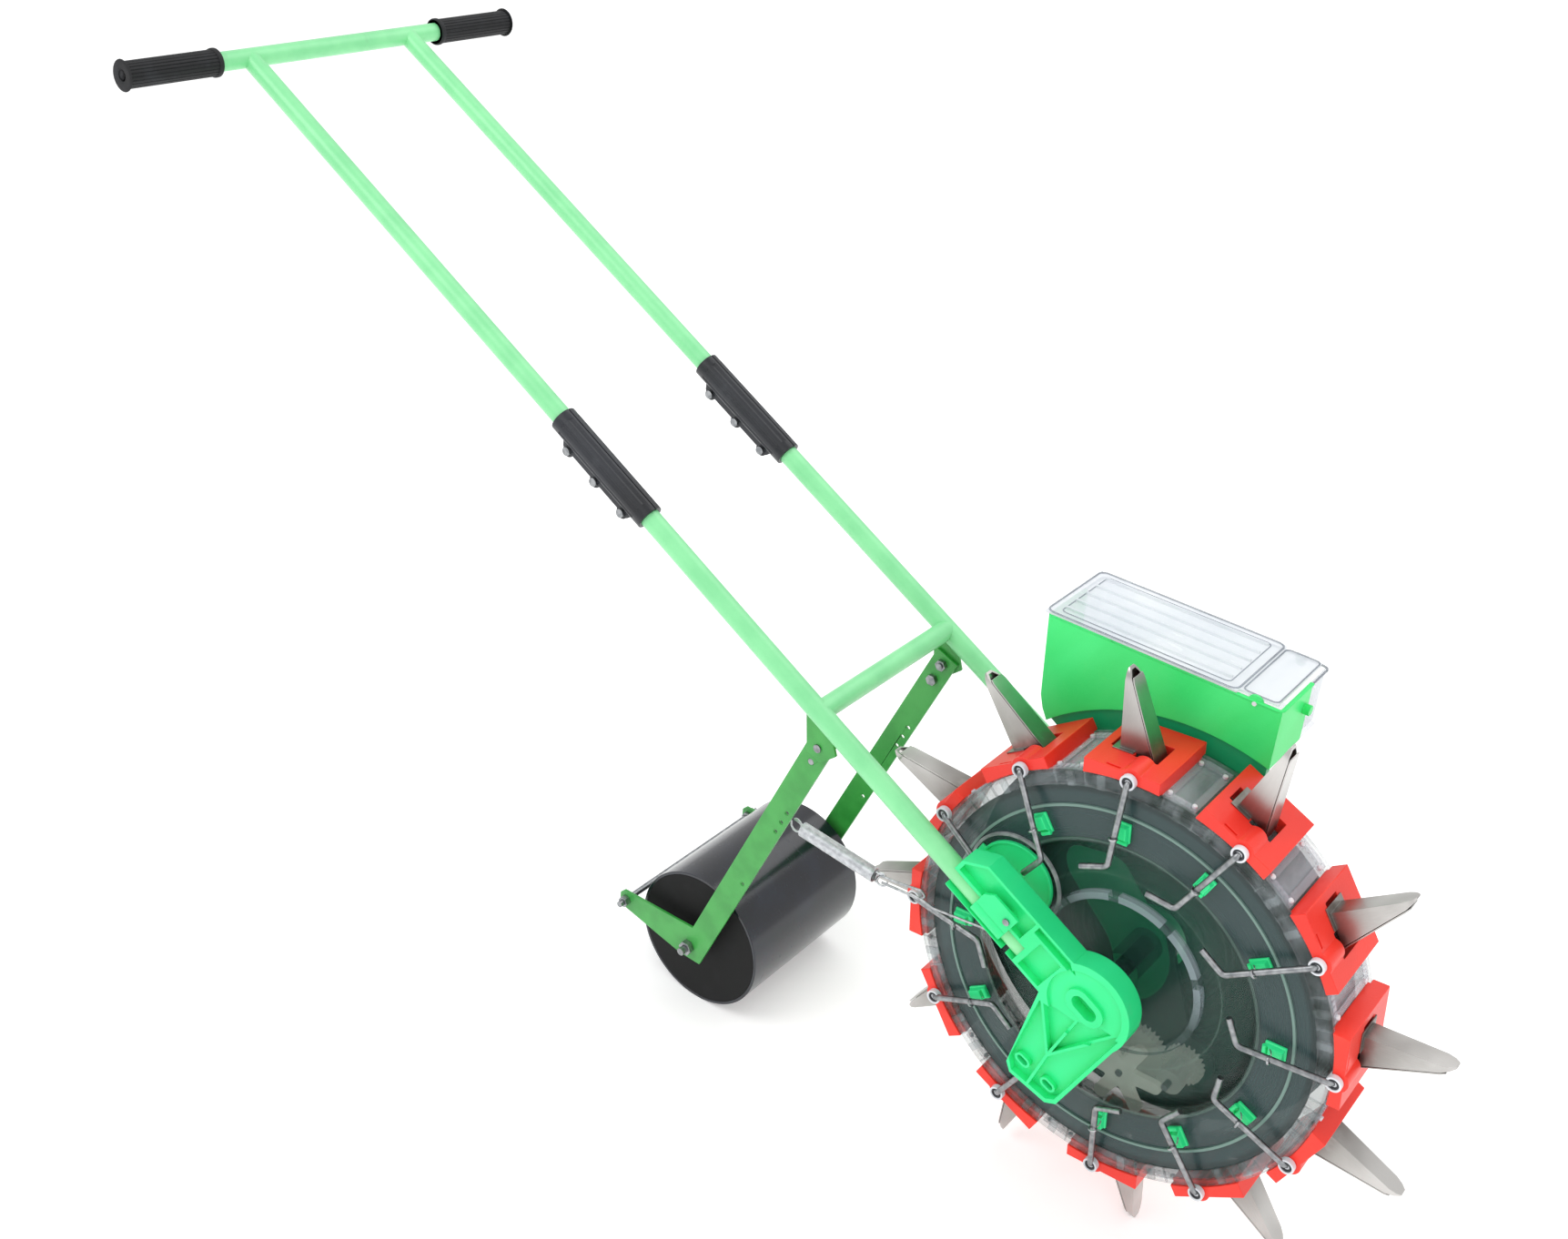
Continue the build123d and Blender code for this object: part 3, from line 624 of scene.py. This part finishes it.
def makeJaws():
    # the moving jaw and its sleeve are the CAD shape, cut off from the straight-cornered rod
    for number, body in enumerate(beakBodies):
        node = "moving_beak_%02d" % (number + 1)
        piece = cadCopy(node, "movingJaw_%02d" % (number + 1))
        activate(piece)
        bpy.ops.object.mode_set(mode="EDIT")
        bpy.ops.mesh.select_all(action="SELECT")
        bpy.ops.mesh.bisect(plane_co=spot(0, crank["cut"], 0), plane_no=(0, 1, 0), use_fill=True,
                            clear_inner=True)
        bpy.ops.object.mode_set(mode="OBJECT")
        roundEdges(piece, 0.3)
        finished(piece, body, "beak", [node])


def makeCranks():
    rod = bentRod([(250, crank["cut"] - 1, 0), crank["elbow"], crank["knee"], crank["end"]],
                  crank["rod"], crank["bend"], "crankRod")
    roundEdges(rod, 0.7, 2, 60)
    aroundWheel(rod, "crankRod", beakBodies, "zinc")


capSizes = {"radius": 8.6, "length": 7.5, "lip": 2.4, "sink": 2.2, "ring": 4.8, "ringWire": 1.4}


def makeCaps():
    # bright cap where the rod leaves its seat, its mouth sunk round the rod
    bpy.ops.mesh.primitive_cylinder_add(vertices=40, radius=capSizes["radius"] / 1000,
                                        depth=capSizes["length"] / 1000,
                                        location=spot(250, -54 - capSizes["length"] / 2, 0),
                                        rotation=(pi / 2, 0, 0))
    cap = taken("crankCap")
    settle(cap)
    front = spot(0, -54 - capSizes["length"], 0).y
    faceWhere(cap, lambda face: abs(face.calc_center_median().y - front) < 0.0001)
    bpy.ops.mesh.inset(thickness=capSizes["lip"] / 1000)
    bpy.ops.mesh.extrude_region_move(TRANSFORM_OT_translate={"value": (0, capSizes["sink"] / 1000, 0)})
    leaveEdit()
    roundEdges(cap, 1.0, 3)
    aroundWheel(cap, "crankCap", beakBodies, "cap")
    bpy.ops.mesh.primitive_torus_add(major_radius=capSizes["ring"] / 1000,
                                     minor_radius=capSizes["ringWire"] / 1000, major_segments=32,
                                     minor_segments=10, location=spot(250, -59.6, 0),
                                     rotation=(pi / 2, 0, 0))
    ring = taken("crankSeal")
    aroundWheel(ring, "crankSeal", beakBodies, "black")


def makeCrankSprings():
    # small coil round the rod beside its clip, with a short hooked tail
    tail = bentRod([(187, -68.2, 4.0), (187, -66.0, 7.5), (184, -61.5, 8.2), (180, -56.5, 6.5)],
                   0.7, 2.0, "crankSpring")
    aroundWheel(tail, "crankSpring", beakBodies, "wire")
    bpy.ops.mesh.primitive_torus_add(major_radius=0.0044, minor_radius=0.0008, major_segments=28,
                                     minor_segments=8, location=spot(187, -71.6, 4.4),
                                     rotation=(0, pi / 2 - radians(8), 0))
    collar = taken("crankCollar")
    collar.scale = (1, 1, 1.6)
    aroundWheel(collar, "crankCollar", beakBodies, "wire")


makeJaws()
makeCranks()
makeCaps()
makeCrankSprings()
print("beaks, cranks, caps and springs made")


# clips and studs on the disc
clip = {"length": 23, "width": 16, "height": 7, "reach": 186, "lead": 2.5}


def makeClips():
    bpy.ops.mesh.primitive_cube_add(size=1, location=spot(clip["reach"], -51.5, clip["lead"]))
    piece = taken("crankClip")
    piece.scale = (clip["length"] / 1000, 0.003, clip["width"] / 1000)
    settle(piece)
    face = spot(0, -53, 0).y
    faceWhere(piece, lambda f: abs(f.calc_center_median().y - face) < 0.0001)
    bpy.ops.mesh.inset(thickness=0.0012)
    bpy.ops.mesh.extrude_region_move(TRANSFORM_OT_translate={"value": (0, -clip["height"] / 1000, 0)})
    bpy.ops.transform.resize(value=(0.72, 1, 0.85))
    bpy.ops.transform.translate(value=(0.0022, 0, 0))
    leaveEdit()
    faceWhere(piece, lambda f: f.normal.x < -0.6 and f.calc_center_median().y < face)
    bpy.ops.mesh.inset(thickness=0.0018)
    bpy.ops.mesh.extrude_region_move(TRANSFORM_OT_translate={"value": (0.003, 0, 0)})
    leaveEdit()
    roundEdges(piece, 0.8, 2)
    bpy.ops.mesh.primitive_cylinder_add(vertices=24, radius=0.0026, depth=0.012,
                                        location=spot(clip["reach"] - 10.5, -55.5, clip["lead"] - 1))
    peg = taken("clipPeg")
    settle(peg)
    roundEdges(peg, 0.5, 2)
    piece = joined([piece, peg], "crankClip")
    aroundWheel(piece, "crankClip", "wheel", "arm")


def makeStuds():
    bpy.ops.mesh.primitive_cylinder_add(vertices=32, radius=0.0073, depth=0.009,
                                        location=spot(185.9, -22, 6.5), rotation=(pi / 2, 0, 0))
    knob = taken("pegKnob")
    settle(knob)
    end = spot(0, -26.5, 0).y
    faceWhere(knob, lambda f: abs(f.calc_center_median().y - end) < 0.0001)
    bpy.ops.mesh.inset(thickness=0.0022)
    bpy.ops.mesh.extrude_region_move(TRANSFORM_OT_translate={"value": (0, 0.0012, 0)})
    leaveEdit()
    roundEdges(knob, 0.9, 3)
    aroundWheel(knob, "pegKnob", "wheel", "stud")


makeClips()
makeStuds()
for number in range(machine["outlets"]):
    name = "crankClip_%02d" % (number + 1)
    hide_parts("crank_clips")
print("clips and studs made")


# clear panels and screws between the seats
panel = {"from": 57, "to": 95, "halfWidth": 46, "reach": 243.6, "wall": 1.2}


def makePanels():
    middle = (panel["from"] + panel["to"]) / 2 / 243
    bpy.ops.mesh.primitive_grid_add(x_subdivisions=6, y_subdivisions=10, size=1)
    sheet = taken("rimPanel")
    sheet.scale = ((panel["to"] - panel["from"]) / 1000, panel["halfWidth"] * 2 / 1000, 1)
    settle(sheet)
    faceWhere(sheet, lambda f: abs(f.calc_center_median().y) < 0.034
              and abs(f.calc_center_median().x) < 0.014)
    bpy.ops.mesh.inset(thickness=0.0016)
    bpy.ops.mesh.extrude_region_move(TRANSFORM_OT_translate={"value": (0, 0, -0.0022)})
    leaveEdit()
    faceWhere(sheet, lambda f: f.normal.z > 0.9 and abs(abs(f.calc_center_median().y) - 0.0414) < 0.006)
    bpy.ops.mesh.inset(thickness=0.0012, use_individual=True)
    bpy.ops.mesh.extrude_region_move(TRANSFORM_OT_translate={"value": (0, 0, 0.0014)})
    leaveEdit()
    # wrapped round the rim
    reach = panel["reach"] / 1000
    for vertex in sheet.data.vertices:
        turn = vertex.co.x / reach + middle
        out = reach + vertex.co.z
        vertex.co = machine["axle"] + Vector((out * cos(turn), vertex.co.y, out * sin(turn)))
    wall = sheet.modifiers.new("wall", "SOLIDIFY")
    wall.thickness = panel["wall"] / 1000
    applyAll(sheet)
    roundEdges(sheet, 0.4, 2)
    aroundWheel(sheet, "rimPanel", "wheel", "clear")
    screws = []
    for side in (-38, 34):
        for lead in (62, 90):
            turn = lead / 243
            bpy.ops.mesh.primitive_cylinder_add(
                vertices=20, radius=0.0028, depth=0.0035, rotation=(0, pi / 2 - turn, 0),
                location=spot(246 * cos(turn), side, 246 * sin(turn)))
            screw = taken("rimScrew")
            settle(screw)
            roundEdges(screw, 0.8, 2)
            screws.append(screw)
    aroundWheel(joined(screws, "rimScrew"), "rimScrew", "wheel", "cap")


def makeFlangeRibs():
    # short ribs and a stepped ledge round the clear flange's face
    pieces = []
    for step in range(4):
        turn = radians(8 + step * 4.4)
        bpy.ops.mesh.primitive_cube_add(size=1, rotation=(0, -turn, 0),
                                        location=spot(236 * cos(turn), -51.5, 236 * sin(turn)))
        rib = taken("flangeRib")
        rib.scale = (0.017, 0.003, 0.0016 if step % 2 else 0.009)
        settle(rib)
        roundEdges(rib, 0.4, 2)
        pieces.append(rib)
    aroundWheel(joined(pieces, "flangeRibs"), "flangeRibs", "wheel", "rim")


makePanels()
makeFlangeRibs()
print("rim panels made")


# round hatch in the disc
hatch = {"centre": (-131.6, 61.5), "radius": 47, "ring": 57}


def makeHatch():
    x, z = hatch["centre"]
    bpy.ops.mesh.primitive_cylinder_add(vertices=72, radius=hatch["radius"] / 1000, depth=0.005,
                                        location=spot(x, -52.5, z), rotation=(pi / 2, 0, 0))
    plug = taken("hatchPlug")
    settle(plug)
    front = spot(0, -55, 0).y
    faceWhere(plug, lambda f: abs(f.calc_center_median().y - front) < 0.0001)
    bpy.ops.mesh.inset(thickness=0.003)
    bpy.ops.mesh.extrude_region_move(TRANSFORM_OT_translate={"value": (0, 0.0018, 0)})
    leaveEdit()
    roundEdges(plug, 0.6, 2)
    finished(plug, "wheel", "arm")
    bpy.ops.mesh.primitive_cylinder_add(vertices=72, radius=hatch["ring"] / 1000, depth=0.004,
                                        location=spot(x, -52.0, z), rotation=(pi / 2, 0, 0),
                                        end_fill_type="NOTHING")
    ring = taken("hatchRing")
    settle(ring)
    wall = ring.modifiers.new("wall", "SOLIDIFY")
    wall.thickness = 0.0035
    applyAll(ring)
    roundEdges(ring, 0.6, 2)
    finished(ring, "wheel", "stud")


makeHatch()
print("hatch made")


# seed duct inside the wheel, seen through the disc
duct = {"y": 29.3, "thick": 1.0, "corners": [(-112, 48), (-112, 78), (-48, 92), (-14, 56), (18, 26),
                                            (33, -12), (30, -46), (8, -80), (-24, -70), (-40, -20)]}


def makeDuct():
    # a moulded plate drawn corner by corner, filled, thickened and rimmed
    mesh = bmesh.new()
    rim = [mesh.verts.new(spot(u, duct["y"], v)) for u, v in duct["corners"]]
    mesh.faces.new(rim)
    data = bpy.data.meshes.new("seedDuct")
    mesh.to_mesh(data)
    mesh.free()
    plate = bpy.data.objects.new("seedDuct", data)
    bpy.context.scene.collection.objects.link(plate)
    faceWhere(plate, lambda f: True)
    bpy.ops.mesh.bevel(offset=0.014, segments=5, affect="VERTICES")
    leaveEdit()
    tidyMesh(plate)
    wall = plate.modifiers.new("wall", "SOLIDIFY")
    wall.thickness = duct["thick"] / 1000
    wall.offset = 0
    applyAll(plate)
    low = min(vertex.co.y for vertex in plate.data.vertices)
    faceWhere(plate, lambda f: abs(f.calc_center_median().y - low) < 0.0001)
    bpy.ops.mesh.inset(thickness=0.004)
    bpy.ops.mesh.extrude_region_move(TRANSFORM_OT_translate={"value": (0, 0.0003, 0)})
    leaveEdit()
    roundEdges(plate, 0.15, 2)
    finished(plate, "frame", "neck")


makeDuct()
print("seed duct made")


# tension spring and its hooks
spring = {"start": (-396, 6), "end": (-290, -3), "y": -83.5, "radius": 8.4, "wire": 0.62, "pitch": 1.1,
          "eye": 8, "eyeTwist": 1.2, "hookWire": 1.5}


def makeSpring():
    # the coil, its eyes, loop and hook are baked in place and attached to no body, so no end follows the
    # roller arms
    ends = ("roller_arms", "frame")
    reach = (spot(-405, spring["y"], 6), spot(-130, spring["y"], 20))
    x0, z0 = spring["start"]
    x1, z1 = spring["end"]
    lineUp = Vector((x1 - x0, 0, z1 - z0))
    turns = int(lineUp.length / spring["pitch"])
    bpy.ops.mesh.primitive_circle_add(vertices=8, radius=spring["wire"] / 1000,
                                      location=(spring["radius"] / 1000, 0, 0), rotation=(pi / 2, 0, 0))
    coil = taken("tensionSpring")
    settle(coil)
    screw = coil.modifiers.new("coil", "SCREW")
    screw.axis = "Z"
    screw.screw_offset = lineUp.length / 1000 / turns
    screw.iterations = turns
    screw.steps = screw.render_steps = 20
    screw.use_merge_vertices = True
    applyAll(coil)
    tidyMesh(coil, 0.00001)
    coil.matrix_world = Matrix.Translation(spot(x0, spring["y"], z0)) @ \
        lineUp.to_track_quat("Z", "Y").to_matrix().to_4x4()
    finished(coil, ends, "coil", ["tension_spring"], 80, reach)
    y = spring["y"]
    back = lineUp.normalized()
    first, last = Vector((x0, y, z0)), Vector((x1, y, z1))
    for name, root, sense in (("springEye", first, -1), ("springTail", last, 1)):
        middle = root + back * sense * 9.5
        corners = [root + Vector((0, 0, 5))]
        for step in range(9):
            turn = radians(130 - 40 * step)
            side = Vector((0, spring["eyeTwist"] * sin(turn), spring["eye"] * sin(turn)))
            corners.append(middle - back * sense * spring["eye"] * cos(turn) + side)
        piece = bentRod(corners, 1.25, 6, name)
        finished(piece, ends, "coil", (), 40, reach)
    tip = onFrame(101, -16)
    loop = bentRod([(-287, y - 2, -9), (-283, y, 1), (-262, y - 1, 4), (-226, y - 2, 12),
                    (-219, y - 3, 7), (-228, y - 4, 1), (-262, y - 2, -4), (-279, y - 1, -7)],
                   spring["hookWire"], 5, "hookLoop")
    finished(loop, ends, "wire", ["spring_hook"], 40, reach)
    hook = bentRod([(-238, y - 4, 2), (-222, y - 5, 3), (-205, y - 6, 1), (tip[0] - 6, -92, tip[1] + 1),
                    (tip[0] + 5, -96, tip[1] + 3), (tip[0] + 8, -104, tip[1] + 9)],
                   spring["hookWire"], 5, "springHook")
    finished(hook, ends, "wire", (), 40, reach)


makeSpring()
print("tension spring made")


# hopper rims and lid trim
hopperRims = {
    # name: body, look, slot, radius, bend, closed, height, corners in X and Y
    "lidTrim": ("lid", "trim", "clear_plastic", 1.1, 9, True, 330.4,
                [(-203, 58.5), (24, 58.5), (24, 185.5), (-203, 185.5)]),
    "lidInset": ("lid", "trim", "clear_plastic", 0.7, 6, True, 330.2,
                 [(-190, 68), (12, 68), (12, 176), (-190, 176)]),
    "lidTongue": ("lid", "trim", "clear_plastic", 0.9, 6, True, 330.3,
                  [(28, 65), (67, 65), (67, 179), (28, 179)]),
    "hopperLip": ("frame", "hopper", "hopper_green", 1.7, 7, False, 325.0,
                  [(-120, 60.3), (-199.3, 60.3), (-199.3, 139)]),
    "hopperFrontLip": ("frame", "hopper", "hopper_green", 1.7, 7, False, 325.0,
                       [(-122, 60.3), (75.2, 60.3), (75.2, 139)]),
    "hopperBackRim": ("frame", "trim", "clear_plastic", 1.3, 8, False, 325.4,
                      [(75.2, 140), (75.2, 183.6), (-199.4, 183.6), (-199.4, 140)]),
}


def makeHopperRims():
    for name, (body, look, slot, radius, bend, closed, height, corners) in hopperRims.items():
        rim = bentRod([(x, y, height) for x, y in corners], radius, bend, name, closed)
        finished(rim, body, look, (), 60)


makeHopperRims()
print("hopper rims made")


# grips and sleeves
grip = {"radius": 17.0, "length": 133, "facets": 96, "grooveStep": 4, "grooveDepth": 0.7,
        "collar": 18.6}


def makeGrips():
    bar = onFrame(machine["handlebarReach"])
    for side, sign in (("right", -1), ("left", 1)):
        end = machine["frameMiddle"] + sign * machine["handlebarHalf"]
        bpy.ops.mesh.primitive_cylinder_add(
            vertices=grip["facets"], radius=grip["radius"] / 1000, depth=grip["length"] / 1000,
            rotation=(pi / 2, 0, 0), location=spot(bar[0], end - sign * grip["length"] / 2, bar[1]))
        piece = taken("grip" + side.capitalize())
        settle(piece)
        # lengthwise grooves: every fourth facet is pressed in
        centre = spot(bar[0], 0, bar[1])

        def facet(face):
            out = face.calc_center_median() - centre
            share = Vector((out.x, out.z)).angle_signed(Vector((1, 0))) / (2 * pi)
            number = int(round(share * grip["facets"] - 0.5))
            return abs(face.normal.y) < 0.5 and number % grip["grooveStep"] == 0

        faceWhere(piece, facet)
        bpy.ops.mesh.inset(thickness=0.00015, use_individual=True)
        bpy.ops.transform.shrink_fatten(value=-grip["grooveDepth"] / 1000)
        leaveEdit()
        inner = spot(0, end - sign * grip["length"], 0).y
        outer = spot(0, end, 0).y
        faceWhere(piece, lambda f: abs(f.calc_center_median().y - outer) < 0.0002)
        bpy.ops.mesh.inset(thickness=0.004)
        bpy.ops.mesh.extrude_region_move(TRANSFORM_OT_translate={"value": (0, sign * 0.0018, 0)})
        bpy.ops.transform.resize(value=(0.86, 1, 0.86))
        bpy.ops.mesh.inset(thickness=0.004)
        bpy.ops.mesh.extrude_region_move(TRANSFORM_OT_translate={"value": (0, -sign * 0.0012, 0)})
        leaveEdit()
        roundEdges(piece, 0.5, 2, 45)
        bpy.ops.mesh.primitive_cylinder_add(
            vertices=64, radius=grip["collar"] / 1000, depth=0.007, rotation=(pi / 2, 0, 0),
            location=(centre.x, inner + sign * 0.0035, centre.z))
        ring = taken("gripCollar")
        settle(ring)
        roundEdges(ring, 2.0, 3)
        piece = joined([piece, ring], "grip" + side.capitalize())
        finished(piece, "frame", "rubber", ["grip_" + side])


def makeSleeves():
    sleeveShapes = {"sleeve_outer_right": "sleeveOuterRight", "sleeve_inner_right": "sleeveInnerRight",
                    "sleeve_outer_left": "sleeveOuterLeft", "sleeve_inner_left": "sleeveInnerLeft"}
    for node, name in sleeveShapes.items():
        piece = cadCopy(node, name)
        roundEdges(piece, 0.8, 2)
        finished(piece, "frame", "black", [node])


makeGrips()
makeSleeves()
print("grips and sleeves made")


# floor, light and camera
studio = {"floorDark": "#f8f8f8", "floorLight": "#ffffff", "floorSize": 24, "floorGlow": 0.25,
          "world": 0.85, "key": 36, "fill": 14, "top": 26}


def makeStage():
    bpy.ops.mesh.primitive_grid_add(x_subdivisions=4, y_subdivisions=4, size=studio["floorSize"])
    floor = taken("studioFloor")
    f = Finish("studioFloor")
    grain = f.noise(3, 2)
    tone = f.mix(grain, colour(studio["floorDark"]), colour(studio["floorLight"]))
    floor.data.materials.append(f.set(Base_Color=tone, Roughness=0.85 + grain * 0.05,
                                     Emission_Color=(1, 1, 1, 1), Emission_Strength=studio["floorGlow"]))
    world = bpy.data.worlds.new("studioWorld")
    world.use_nodes = True
    world.node_tree.nodes["Background"].inputs[0].default_value = (1, 1, 1, 1)
    world.node_tree.nodes["Background"].inputs[1].default_value = studio["world"]
    bpy.context.scene.world = world


def areaLight(name, place, aim, size, power):
    light = bpy.data.lights.new(name, "AREA")
    light.shape = "SQUARE"
    light.size = size
    light.energy = power
    lamp = bpy.data.objects.new(name, light)
    lamp.location = place
    lamp.rotation_euler = (Vector(aim) - Vector(place)).to_track_quat("-Z", "Y").to_euler()
    bpy.context.scene.collection.objects.link(lamp)


view = {"place": (1.06052, -1.53285, 1.61006), "right": (0.7832, 0.6158, 0.0857),
        "up": (-0.3310, 0.2963, 0.8959), "back": (0.5263, -0.7300, 0.4359),
        "lens": 40.42, "shiftX": 0.0048, "shiftY": -0.0825}


def makeCamera():
    data = bpy.data.cameras.new("camera")
    camera = bpy.data.objects.new("camera", data)
    bpy.context.scene.collection.objects.link(camera)
    turn = Matrix((view["right"], view["up"], view["back"])).transposed().to_4x4()
    camera.matrix_world = Matrix.Translation(view["place"]) @ turn
    data.lens = view["lens"]
    data.shift_x = view["shiftX"]
    data.shift_y = view["shiftY"]
    bpy.context.scene.camera = camera


# plain colours, not toned down
bpy.context.scene.view_settings.view_transform = "Standard"
makeStage()
areaLight("key", (-1.6, -2.2, 3.2), (0, 0, 0.5), 2.0, studio["key"])
areaLight("fill", (2.6, -1.6, 1.8), (0.3, 0, 0.4), 2.2, studio["fill"])
areaLight("top", (0.4, 1.6, 3.4), (0.2, 0, 0.4), 2.5, studio["top"])
makeCamera()
print("stage, light and camera made")
